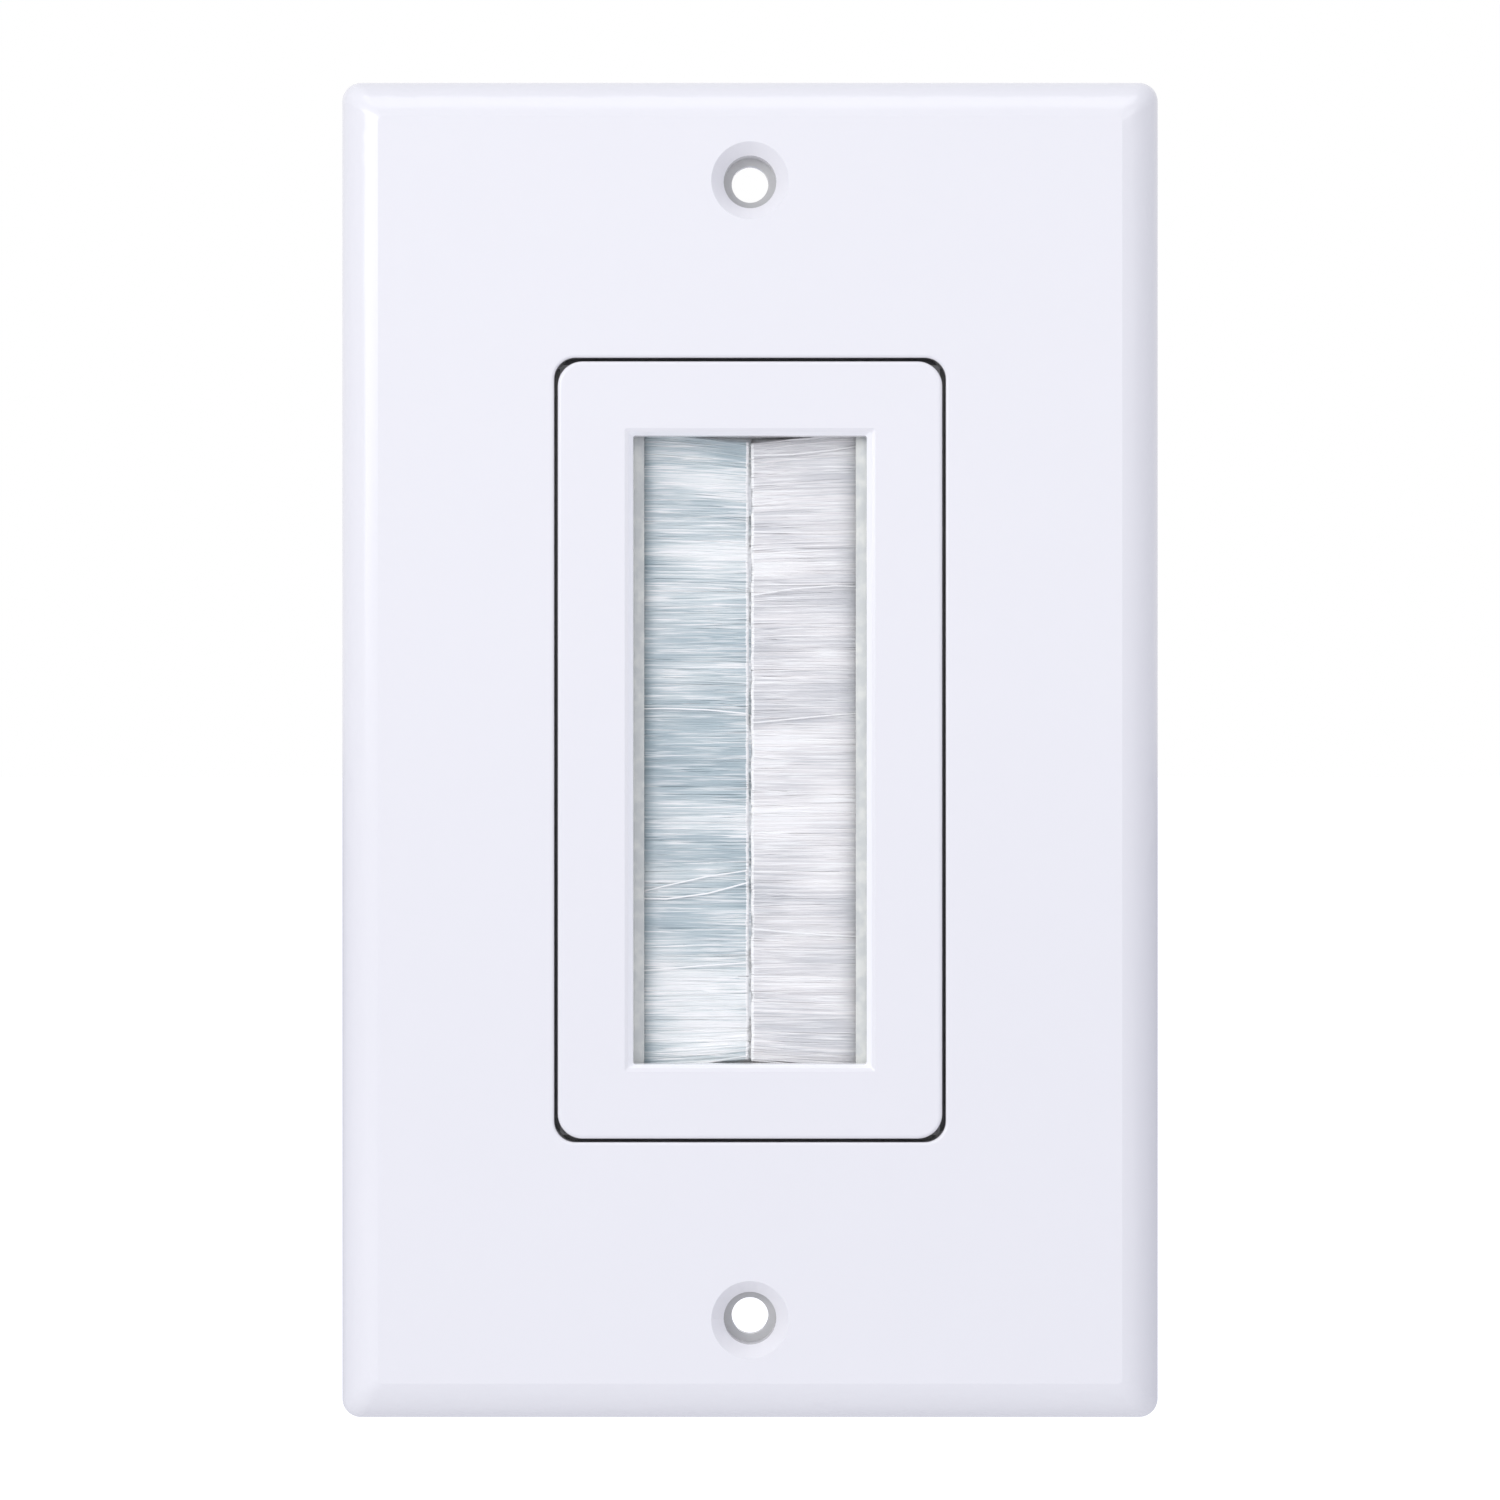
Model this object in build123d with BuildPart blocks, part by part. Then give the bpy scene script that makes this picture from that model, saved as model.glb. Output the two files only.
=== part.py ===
from build123d import *
from math import cos, radians, sin
import os

# Brush wall plate for one gang, with a plastic insert that holds two rows of bristles.
# The wall plane is y = 0, the room is on the -Y side, +Z is up and +X is to the right.
# A height is a distance from the wall plane towards the room, so a sketch at height h
# lies on Plane.XZ.offset(h). Heights below zero are inside the wall box.

# Wall plate
plate_width = 69.85
plate_height = 114.3
plate_depth = 5.6
plate_face_wall = 2.3
plate_side_wall = 2.0
plate_corner_radius = 1.6
plate_face_corner_radius = 0.4
plate_inside_radius = 1.0
bevel_width = 3.3
bevel_start_angle = 12.0
bevel_end_angle = 78.0
bevel_sections = 6
opening_width = 33.3
opening_height = 66.7
opening_corner_radius = 1.8
opening_edge_radius = 0.25
collar_wall = 1.4
boss_wall = 1.0
rib_thickness = 1.2
rib_spacing = 22.0
rib_clearance = 0.1

# Screw holes
plate_screw_end_distance = 8.73
plate_screw_bore = 4.5
countersink_diameter = 6.6
countersink_angle = 82.0
plate_screw_thread = 3.14
thread_wall = 1.0
thread_relief_diameter = 6.4
box_screw_step = 6.75
box_screw_bore = 4.0
box_screw_head_recess = 7.6
box_screw_head_depth = 1.0

# Insert
insert_gap = 0.3
insert_corner_radius = 2.1
insert_edge_radius = 0.35
window_width = 21.3
window_height = 54.7
window_corner_radius = 0.2
window_wall = 2.4
window_lip_inset = 0.3
window_lip_depth = 0.15
window_bevel_depth = 0.45
window_side_bevel = 0.4
window_end_bevel = 0.3
strap_thickness = 2.5
strap_end_clearance = 1.95
strap_width = 41.0
strap_shoulder_length = 76.0
strap_neck_width = 24.0
strap_corner_radius = 3.0
strap_edge_radius = 0.4

# Brushes
brush_length = 54.1
brush_end_play = 0.1
channel_depth = 4.0
channel_height = 3.0
channel_sheet = 0.45
channel_mouth = 1.3
channel_pinch_length = 1.6
channel_bend_radius = 0.6
channel_reveal = 0.85
channel_play = 0.1
core_wire_diameter = 0.9
bundle_clearance = 0.02
bristle_thickness = 2.2
bristle_flare_length = 1.2
ridge_depth = 0.16
ridge_pitch = 0.9
tip_gap = 0.24
tip_notch = 0.25
top_sag = 0.8
bottom_lift = 0.15

# Retainer and its screws
retainer_thickness = 2.0
retainer_side_land = 2.1
retainer_end_land = 5.2
retainer_clearance = 0.2
retainer_corner_radius = 1.5
retainer_window_radius = 1.5
retainer_side_cover = 3.5
retainer_end_cover = 1.0
rear_rim_wall = 1.6
core_pocket_width = 14.0
core_pocket_wall = 1.4
screw_inset_x = 4.2
screw_inset_z = 2.5
screw_shank = 2.1
screw_length = 5.2
screw_point_length = 0.8
screw_point_taper = 0.5
screw_head_diameter = 4.0
screw_head_height = 1.4
screw_head_edge = 0.5
screw_clearance = 0.1
pilot_clearance = 0.05
pilot_extra_depth = 0.4
cross_width = 0.6
cross_span = 2.4
cross_depth = 0.8

# Heights from the wall plane
plate_inside = plate_depth - plate_face_wall
strap_front = strap_thickness
rib_height = strap_front + rib_clearance
window_back = plate_depth - window_wall
brush_centre = window_back - channel_height / 2
seat_height = window_back - channel_height - channel_play
rear_height = seat_height - retainer_thickness

# Sizes that follow from the fits. The plate's screws come out 96.84 apart and the box's 83.34.
plate_screw_spacing = plate_height - 2 * plate_screw_end_distance
box_screw_spacing = plate_screw_spacing - 2 * box_screw_step
strap_length = plate_height - 2 * (plate_side_wall + strap_end_clearance)
insert_width = opening_width - 2 * insert_gap
insert_height = opening_height - 2 * insert_gap
throat_width = window_width - 2 * (window_lip_inset + window_side_bevel)
throat_height = window_height - 2 * (window_lip_inset + window_end_bevel)
lip_height = plate_depth - window_lip_depth
throat_front = lip_height - window_bevel_depth
mouth_x = throat_width / 2 - channel_reveal
channel_back_x = mouth_x + channel_depth
pocket_width = 2 * (channel_back_x + channel_play)
pocket_height = brush_length + 2 * brush_end_play
retainer_width = pocket_width + 2 * retainer_side_land
retainer_height = pocket_height + 2 * retainer_end_land
screw_x = retainer_width / 2 - screw_inset_x
screw_z = retainer_height / 2 - screw_inset_z


def at_height(height):
    """The plane parallel to the wall at this height, facing the room."""
    return Plane.XZ.offset(height)


def mirrored_pair(distance):
    """Two places on the upright centre line, as far above the centre as below it."""
    return [(0, distance / 2), (0, -distance / 2)]


# Wall plate
bevel_radius = bevel_width / (sin(radians(bevel_end_angle)) - sin(radians(bevel_start_angle)))


def bevel_section(step):
    """Height, inset and corner radius of the bevel at one step from the side to the face."""
    turn = (bevel_end_angle - bevel_start_angle) * step / (bevel_sections - 1)
    angle = radians(bevel_end_angle - turn)
    below_face = bevel_radius * (cos(radians(bevel_start_angle)) - cos(angle))
    inset = bevel_radius * (sin(radians(bevel_end_angle)) - sin(angle))
    sharpened = (plate_corner_radius - plate_face_corner_radius) * inset / bevel_width
    return plate_depth - below_face, inset, plate_corner_radius - sharpened


side_height = bevel_section(0)[0]
inside_width = plate_width - 2 * plate_side_wall
inside_height = plate_height - 2 * plate_side_wall
collar_width = opening_width + 2 * collar_wall
collar_height = opening_height + 2 * collar_wall
boss_diameter = plate_screw_bore + 2 * boss_wall
end_rib_length = inside_height / 2 - plate_screw_spacing / 2

with BuildPart() as wall_plate:
    with BuildSketch(at_height(0)):
        RectangleRounded(plate_width, plate_height, plate_corner_radius)
    extrude(amount=side_height)
    for step in range(bevel_sections):
        height, inset, corner = bevel_section(step)
        with BuildSketch(at_height(height)):
            RectangleRounded(plate_width - 2 * inset, plate_height - 2 * inset, corner)
    loft()
    with BuildSketch(at_height(0)):
        RectangleRounded(inside_width, inside_height, plate_inside_radius)
    extrude(amount=plate_inside, mode=Mode.SUBTRACT)
    # The collar round the opening, the ribs to the side walls and the ribs at the bosses
    with BuildSketch(at_height(rib_height)):
        RectangleRounded(collar_width, collar_height, opening_corner_radius + collar_wall)
        for rib_place in (-rib_spacing, 0, rib_spacing):
            with Locations((0, rib_place)):
                Rectangle(inside_width, rib_thickness)
        for _, boss_place in mirrored_pair(plate_screw_spacing):
            with Locations((0, boss_place)):
                Rectangle(inside_width, rib_thickness)
            rib_middle = (abs(boss_place) + end_rib_length / 2) * boss_place / abs(boss_place)
            with Locations((0, rib_middle)):
                Rectangle(rib_thickness, end_rib_length)
    extrude(amount=plate_inside - rib_height)
    with BuildSketch(at_height(strap_front)):
        with Locations(*mirrored_pair(plate_screw_spacing)):
            Circle(boss_diameter / 2)
    extrude(amount=plate_inside - strap_front)
    with BuildSketch(at_height(0)):
        RectangleRounded(opening_width, opening_height, opening_corner_radius)
    extrude(amount=plate_depth, mode=Mode.SUBTRACT)
    plate_face = faces().sort_by(Axis.Y)[0]
    fillet(plate_face.inner_wires()[0].edges(), opening_edge_radius)
    with Locations(at_height(plate_depth)):
        with Locations(*mirrored_pair(plate_screw_spacing)):
            CounterSinkHole(
                radius=plate_screw_bore / 2,
                counter_sink_radius=countersink_diameter / 2,
                depth=plate_depth,
                counter_sink_angle=countersink_angle,
            )
wall_plate.part.label = "wall_plate"

# Insert frame
rim_width = retainer_width + 2 * (retainer_clearance + rear_rim_wall)
rim_height = retainer_height + 2 * (retainer_clearance + rear_rim_wall)
neck_length = (strap_length - strap_shoulder_length) / 2 + strap_corner_radius
neck_middle = strap_length / 2 - neck_length / 2
core_pocket_height = retainer_end_land - 2 * core_pocket_wall
core_pocket_spacing = pocket_height + retainer_end_land
pilot_diameter = screw_shank + 2 * pilot_clearance
pilot_depth = screw_length - retainer_thickness + pilot_extra_depth

with BuildPart() as insert_frame:
    # The strap, with a wide middle and a narrower neck at each end
    with BuildSketch(at_height(0)):
        RectangleRounded(strap_width, strap_shoulder_length, strap_corner_radius)
        with Locations((0, neck_middle), (0, -neck_middle)):
            RectangleRounded(strap_neck_width, neck_length, strap_corner_radius)
    extrude(amount=strap_front)
    fillet(edges().group_by(Axis.Y)[0], strap_edge_radius)
    # The face block that fills the plate's opening
    with BuildSketch(at_height(strap_front)):
        RectangleRounded(insert_width, insert_height, insert_corner_radius)
    extrude(amount=plate_depth - strap_front)
    fillet(faces().sort_by(Axis.Y)[0].outer_wire().edges(), insert_edge_radius)
    # The rim behind the strap, the retainer's seat in it and the pocket for the brushes
    with BuildSketch(at_height(rear_height)):
        RectangleRounded(rim_width, rim_height, retainer_corner_radius + rear_rim_wall)
    extrude(amount=-rear_height)
    with BuildSketch(at_height(rear_height)):
        RectangleRounded(
            retainer_width + 2 * retainer_clearance,
            retainer_height + 2 * retainer_clearance,
            retainer_corner_radius,
        )
    extrude(amount=retainer_thickness, mode=Mode.SUBTRACT)
    with BuildSketch(at_height(seat_height)):
        Rectangle(pocket_width, pocket_height)
        with Locations(*mirrored_pair(core_pocket_spacing)):
            Rectangle(core_pocket_width, core_pocket_height)
    extrude(amount=window_back - seat_height, mode=Mode.SUBTRACT)
    # The window: straight walls at the back, then a bevel and a shallow lip up to the face
    with BuildSketch(at_height(window_back)):
        RectangleRounded(throat_width, throat_height, window_corner_radius)
    extrude(amount=throat_front - window_back, mode=Mode.SUBTRACT)
    with BuildSketch(at_height(throat_front)):
        RectangleRounded(throat_width, throat_height, window_corner_radius)
    with BuildSketch(at_height(lip_height)):
        RectangleRounded(
            window_width - 2 * window_lip_inset,
            window_height - 2 * window_lip_inset,
            window_corner_radius,
        )
    with BuildSketch(at_height(plate_depth)):
        RectangleRounded(window_width, window_height, window_corner_radius)
    loft(ruled=True, mode=Mode.SUBTRACT)
    # Screw holes in the strap, thinned behind the plate's screws, and the retainer's pilot holes
    with BuildSketch(at_height(0)):
        with Locations(*mirrored_pair(plate_screw_spacing)):
            Circle(plate_screw_thread / 2)
        with Locations(*mirrored_pair(box_screw_spacing)):
            Circle(box_screw_bore / 2)
    extrude(amount=strap_front, mode=Mode.SUBTRACT)
    with BuildSketch(at_height(0)):
        with Locations(*mirrored_pair(plate_screw_spacing)):
            Circle(thread_relief_diameter / 2)
    extrude(amount=strap_front - thread_wall, mode=Mode.SUBTRACT)
    with BuildSketch(at_height(strap_front - box_screw_head_depth)):
        with Locations(*mirrored_pair(box_screw_spacing)):
            Circle(box_screw_head_recess / 2)
    extrude(amount=box_screw_head_depth, mode=Mode.SUBTRACT)
    with BuildSketch(at_height(seat_height)):
        with GridLocations(2 * screw_x, 2 * screw_z, 2, 2):
            Circle(pilot_diameter / 2)
    extrude(amount=pilot_depth, mode=Mode.SUBTRACT)
insert_frame.part.label = "insert_frame"


# Brushes
bundle_radius = channel_height / 2 - channel_sheet - bundle_clearance
wire_x = channel_back_x - channel_sheet - bundle_clearance - bundle_radius
neck_thickness = channel_mouth - 2 * bundle_clearance
tip_x = tip_gap / 2
ridge_count = round(brush_length / ridge_pitch)
ridge_step = brush_length / ridge_count


def make_channel(side):
    """The folded metal channel of one brush, open towards the middle of the window."""
    leg = (channel_height - channel_sheet) / 2
    lip = (channel_mouth + channel_sheet) / 2
    back_x = channel_back_x - channel_sheet / 2
    pinch_x = mouth_x + channel_pinch_length
    section = [
        (mouth_x, lip),
        (pinch_x, leg),
        (back_x, leg),
        (back_x, -leg),
        (pinch_x, -leg),
        (mouth_x, -lip),
    ]
    with BuildPart() as channel:
        with BuildSketch(Plane.XY.offset(-brush_length / 2)):
            with BuildLine():
                FilletPolyline(
                    *[(side * x, y - brush_centre) for x, y in section],
                    radius=channel_bend_radius,
                )
            trace(line_width=channel_sheet)
        extrude(amount=brush_length)
    return channel


def make_core_wire(side):
    """The straight wire that the filaments of one brush are folded round."""
    with BuildPart() as wire:
        with BuildSketch(Plane.XY.offset(-brush_length / 2)):
            with Locations((side * wire_x, -brush_centre)):
                Circle(core_wire_diameter / 2)
        extrude(amount=brush_length)
    return wire


def make_bristles(side):
    """The filaments of one brush as one ridged body, from the fold round the wire to the tips."""
    top = brush_length / 2
    outline = [(mouth_x, -top), (mouth_x, top), (tip_x, top - top_sag)]
    tip_step = (brush_length - top_sag - bottom_lift) / ridge_count
    for tooth in range(1, ridge_count):
        reach = tip_x + tip_notch * (tooth % 2)
        outline.append((reach, top - top_sag - tooth * tip_step))
    outline.append((tip_x, -top + bottom_lift))
    ridges = [(ridge_depth * (n % 2), -top + n * ridge_step / 2) for n in range(2 * ridge_count + 1)]
    front = [(-brush_centre - bristle_thickness / 2 + depth, z) for depth, z in ridges]
    rear = [(-brush_centre + bristle_thickness / 2 - depth, z) for depth, z in reversed(ridges)]
    flare_x = mouth_x - bristle_flare_length
    flare = [
        (mouth_x, neck_thickness / 2),
        (flare_x, bristle_thickness / 2),
        (0, bristle_thickness / 2),
        (0, -bristle_thickness / 2),
        (flare_x, -bristle_thickness / 2),
        (mouth_x, -neck_thickness / 2),
    ]
    with BuildPart() as bristles:
        with BuildSketch(at_height(brush_centre)):
            Polygon(*[(side * x, z) for x, z in outline], align=None)
        extrude(amount=bristle_thickness, both=True)
        with BuildSketch(Plane.YZ):
            Polygon(*front, *rear, align=None)
        extrude(amount=side * channel_back_x, mode=Mode.INTERSECT)
        with BuildSketch(Plane.XY.offset(-brush_length / 2)):
            Polygon(*[(side * x, y - brush_centre) for x, y in flare], align=None)
        extrude(amount=brush_length, mode=Mode.INTERSECT)
        # The neck in the channel's mouth and the fold round the wire
        with BuildSketch(Plane.XY.offset(-brush_length / 2)):
            with Locations((side * (wire_x + mouth_x) / 2, -brush_centre)):
                Rectangle(wire_x - mouth_x, neck_thickness)
            with Locations((side * wire_x, -brush_centre)):
                Circle(bundle_radius)
                Circle(core_wire_diameter / 2, mode=Mode.SUBTRACT)
        extrude(amount=brush_length)
    return bristles


left_brush_channel = make_channel(-1)
left_brush_channel.part.label = "left_brush_channel"
right_brush_channel = make_channel(1)
right_brush_channel.part.label = "right_brush_channel"
left_core_wire = make_core_wire(-1)
left_core_wire.part.label = "left_core_wire"
right_core_wire = make_core_wire(1)
right_core_wire.part.label = "right_core_wire"
left_bristles = make_bristles(-1)
left_bristles.part.label = "left_bristles"
right_bristles = make_bristles(1)
right_bristles.part.label = "right_bristles"

# Rear retainer
retainer_window_width = pocket_width - 2 * retainer_side_cover
retainer_window_height = brush_length - 2 * retainer_end_cover

with BuildPart() as rear_retainer:
    with BuildSketch(at_height(rear_height)):
        RectangleRounded(retainer_width, retainer_height, retainer_corner_radius)
        RectangleRounded(
            retainer_window_width,
            retainer_window_height,
            retainer_window_radius,
            mode=Mode.SUBTRACT,
        )
        with GridLocations(2 * screw_x, 2 * screw_z, 2, 2):
            Circle(screw_shank / 2 + screw_clearance, mode=Mode.SUBTRACT)
    extrude(amount=retainer_thickness)
rear_retainer.part.label = "rear_retainer"


# Retainer screws
def make_screw(x, z):
    """One pan head screw, with its head on the back of the retainer and its point to the room."""
    with BuildPart() as screw:
        with BuildSketch(at_height(rear_height)):
            with Locations((x, z)):
                Circle(screw_head_diameter / 2)
        extrude(amount=-screw_head_height)
        fillet(faces().sort_by(Axis.Y)[-1].edges(), screw_head_edge)
        with BuildSketch(at_height(rear_height)):
            with Locations((x, z)):
                Circle(screw_shank / 2)
        extrude(amount=screw_length)
        chamfer(faces().sort_by(Axis.Y)[0].edges(), screw_point_length, screw_point_taper)
        with BuildSketch(at_height(rear_height - screw_head_height)):
            with Locations((x, z)):
                Rectangle(cross_span, cross_width)
                Rectangle(cross_width, cross_span)
        extrude(amount=cross_depth, mode=Mode.SUBTRACT)
    return screw


screw_places = [(screw_x, screw_z), (-screw_x, screw_z), (-screw_x, -screw_z), (screw_x, -screw_z)]
retainer_screws = [make_screw(x, z) for x, z in screw_places]
for number, screw in enumerate(retainer_screws, start=1):
    screw.part.label = f"retainer_screw_{number}"

# One file for each piece
os.makedirs("parts", exist_ok=True)
pieces = [
    wall_plate,
    insert_frame,
    left_brush_channel,
    right_brush_channel,
    left_core_wire,
    right_core_wire,
    left_bristles,
    right_bristles,
    rear_retainer,
    *retainer_screws,
]
for piece in pieces:
    export_step(piece.part, f"parts/{piece.part.label}.step")
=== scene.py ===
import math
import random

import bmesh
import bpy
import numpy as np
from bpy.props import FloatProperty, FloatVectorProperty, IntProperty, PointerProperty
from bpy.types import Operator, Panel, PropertyGroup
from mathutils import Matrix, Vector


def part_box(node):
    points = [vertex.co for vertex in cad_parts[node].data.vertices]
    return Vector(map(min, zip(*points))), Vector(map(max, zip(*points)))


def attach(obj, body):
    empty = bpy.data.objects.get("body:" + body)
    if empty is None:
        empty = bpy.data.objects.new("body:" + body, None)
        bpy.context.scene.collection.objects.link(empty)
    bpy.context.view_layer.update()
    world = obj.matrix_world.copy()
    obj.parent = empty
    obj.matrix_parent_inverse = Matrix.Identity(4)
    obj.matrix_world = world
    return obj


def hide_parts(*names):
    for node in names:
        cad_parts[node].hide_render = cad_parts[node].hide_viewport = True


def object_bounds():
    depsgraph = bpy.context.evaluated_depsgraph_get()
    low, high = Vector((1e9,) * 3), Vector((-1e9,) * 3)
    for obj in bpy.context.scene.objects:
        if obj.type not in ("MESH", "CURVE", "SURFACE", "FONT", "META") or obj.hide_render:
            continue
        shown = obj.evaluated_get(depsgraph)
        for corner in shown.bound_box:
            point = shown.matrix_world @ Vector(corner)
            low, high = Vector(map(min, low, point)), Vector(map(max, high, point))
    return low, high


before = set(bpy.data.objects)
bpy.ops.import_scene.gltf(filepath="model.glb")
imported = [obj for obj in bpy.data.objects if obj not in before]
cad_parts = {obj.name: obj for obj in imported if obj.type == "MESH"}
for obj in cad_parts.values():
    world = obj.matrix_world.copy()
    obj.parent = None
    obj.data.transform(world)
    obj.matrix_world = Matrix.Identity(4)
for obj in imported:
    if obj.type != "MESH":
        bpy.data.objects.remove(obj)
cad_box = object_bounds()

bl_info = {
    "name": "Brush wall plate",
    "version": (1, 0, 0),
    "blender": (4, 5, 0),
    "location": "3D View > Sidebar > Brush plate",
    "description": "Combs the bristles of a brush wall plate and finishes its plastic and metal",
    "category": "Object",
}

# The room is on the -Y side of the plate, +Z is up and the sizes are in metres.
MM = 0.001
BODY = "root"

# Half widths and half heights round the plate's centre that mark out parts of its front
INSERT_SIDES = (16.25 * MM, 32.95 * MM)
CREVICE_REACH = (17.2 * MM, 33.9 * MM)
WINDOW_EDGES = (10.36 * MM, 27.06 * MM)
STRAP_MIDDLE = (60 * MM, 42 * MM)
# How softly a marked part ends
SHARP_EDGE = 0.02 * MM
SOFT_EDGE = 0.05 * MM
# How far behind the plate's face the painted shade in the crevice and the painted light on the
# window's bevel start
CREVICE_DEPTHS = (0.35 * MM, 0.9 * MM)
BEVEL_DEPTHS = (0.13 * MM, 0.17 * MM)
# Places on Y inside the strap, whose back is at 0, and just behind its front
INSIDE_STRAP = (-1.5 * MM, -1.4 * MM)
BEHIND_STRAP_FRONT = (-2.4 * MM, -2.3 * MM)

# Painted shade in the crevices round the insert and on the strap's front in the screw holes,
# painted light on the window's rim, then the glue film's colour
CREVICE_SHADE_COLOUR = (0.12, 0.12, 0.13)
HOLE_SHADE_GREY = (0.58, 0.58, 0.57)
WINDOW_PAINTED_LIGHT = (0.97, 0.965, 0.975)
FILM_COLOUR = (0.80, 0.80, 0.74)
PLASTIC_IOR = 1.49
NYLON_IOR = 1.53
# How much the plastic's colour and its roughness vary, either way
PLASTIC_CLOUD = 0.006
PLASTIC_POLISH = 0.06

# Bands of painted light and shade across each row of bristles: height above the centre and half
# width in millimetres, then how much paler the band is, or deeper below zero
LIGHT_AND_SHADE_BANDS = {
    "left": (
        (23.4, 1.4, 0.25), (19.5, 1.5, -0.2), (17.2, 0.7, 0.5), (13.6, 1.0, 0.3),
        (10.0, 2.0, -0.3), (-1.6, 3.0, -0.6), (-6.3, 0.7, 0.6), (-8.7, 1.5, -0.4),
        (-13.8, 1.5, -0.4), (-21.2, 4.6, 0.5),
    ),
    "right": (
        (22.0, 1.2, 0.35), (19.3, 0.9, -0.4), (15.6, 1.0, 0.3), (12.8, 1.0, -0.35),
        (2.8, 0.9, -0.35), (-4.2, 3.6, 0.6), (-10.0, 1.2, 0.3), (-24.1, 1.0, -0.5),
    ),
}
# A strand is cut at these shares of its length, so that it can bend and its end carry painted
# light
STRAND_CUTS = (0.3, 0.65, 0.974, 0.98)
CUT_END_START = 0.979
STRAND_SIDES = 4
# Strands come in groups of which the first ones face the room and the others the wall
GROUP = 5
GROUP_FRONT = 3
# Neighbours lie this share of their layer's depth apart, which packs them evenly
PACKING_STEP = 0.618034
# How unevenly strands are set: a share of their spacing, then at the tips, in the trimming and
# in the curl of their middles, and how thin and thick they are
ROOT_SCATTER = 0.4
TIP_SCATTER = 0.15 * MM
TRIM_SCATTER = 0.02 * MM
CURL = 0.08 * MM
THICKNESSES = (0.85, 1.2)
# Depths are shares of the row's half depth: how thick each layer of loose strands is, and how
# far the core between them reaches
SKIN_DEPTH = 0.18
CORE_DEPTH = 0.87
CORE_COLUMNS = 7
CORE_ROWS = 480
CORE_RIDGE = 0.03 * MM
CORE_INSET = 0.1 * MM
# The left row's core closes the gap where the rows meet
CORE_TIPS = {"left": -0.11 * MM, "right": 0.2 * MM}
# Painted light on the core's tips, from this share of its length, where the rows meet
CORE_TIP_START = 0.9
CORE_TIP_LIGHT = 0.5
# Shades are from 0, deep, to 1, pale, and the cut ends and loose strands have one of their own,
# above 1, for painted light.
# A mean and a spread of shades for the strands and the core, then how they drift along a strand
STRAND_SHADES = (0.5, 0.2)
CORE_SHADES = (0.5, 0.15)
SHADE_DRIFT = 0.12
# Painted shadow at the strands' roots, by the channel's mouth: how far it reaches and how deep it
# is
ROOT_SHADE_LENGTH = 2.1 * MM
ROOT_SHADE = 0.6
# The cut ends' and loose strands' shade, and the colour of the painted highlights and painted
# light on the nylon
CUT_END_AND_LOOSE_LIGHT = 1.6
PAINTED_NYLON_LIGHT = (1.0, 1.0, 0.98)
# How round a strand looks across its width, as light passes through it and fills its shaded sides
STRAND_ROUNDNESS = 0.45
# Strands that lie across the others: height of root and tip, then how far the middle bows up
LOOSE_STRANDS = {
    "left": ((-12.4, -10.3, 0.5), (-12.7, -11.3, -0.25), (3.5, 3.1, 0.1), (-19.0, -18.2, 0.15)),
    "right": ((26.2, 25.2, -0.35), (3.2, 2.3, -0.1), (-16.0, -15.3, 0.1), (14.0, 13.2, 0.1)),
}
# Uneven waves: where in its turn each part may start, and how far and how slowly its length sways
WAVE_START = 6.28
WAVE_SWAY = 1.3
SWAY_LENGTH = 2.7

# Softboxes: name, degrees left and up of the camera, width and height, and roll in degrees
SOFTBOXES = (
    ("Front", 0, 8, (1.4, 0.8), 0),
    ("Key", 41, 16, (0.89, 0.45), 9),
    ("Fill", -45, 21, (0.45, 0.35), -9),
    ("Top", 0, 70, (1.2, 0.6), 0),
)
SURROUND_COLOUR = (0.92, 0.95, 1.15)
FLOOR_COLOUR = (0.9, 0.9, 0.9)
FLOOR_SIZE = 20
# The floor's own light, to other rays and to the camera, which sees it white
FLOOR_GLOW = (0.08, 0.68)
# The plate's outline lies this share of the part's depth behind its face
OUTLINE_DEPTH = 0.37
SENSOR_WIDTH = 36.0
NEAREST_SEEN = 0.01


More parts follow.
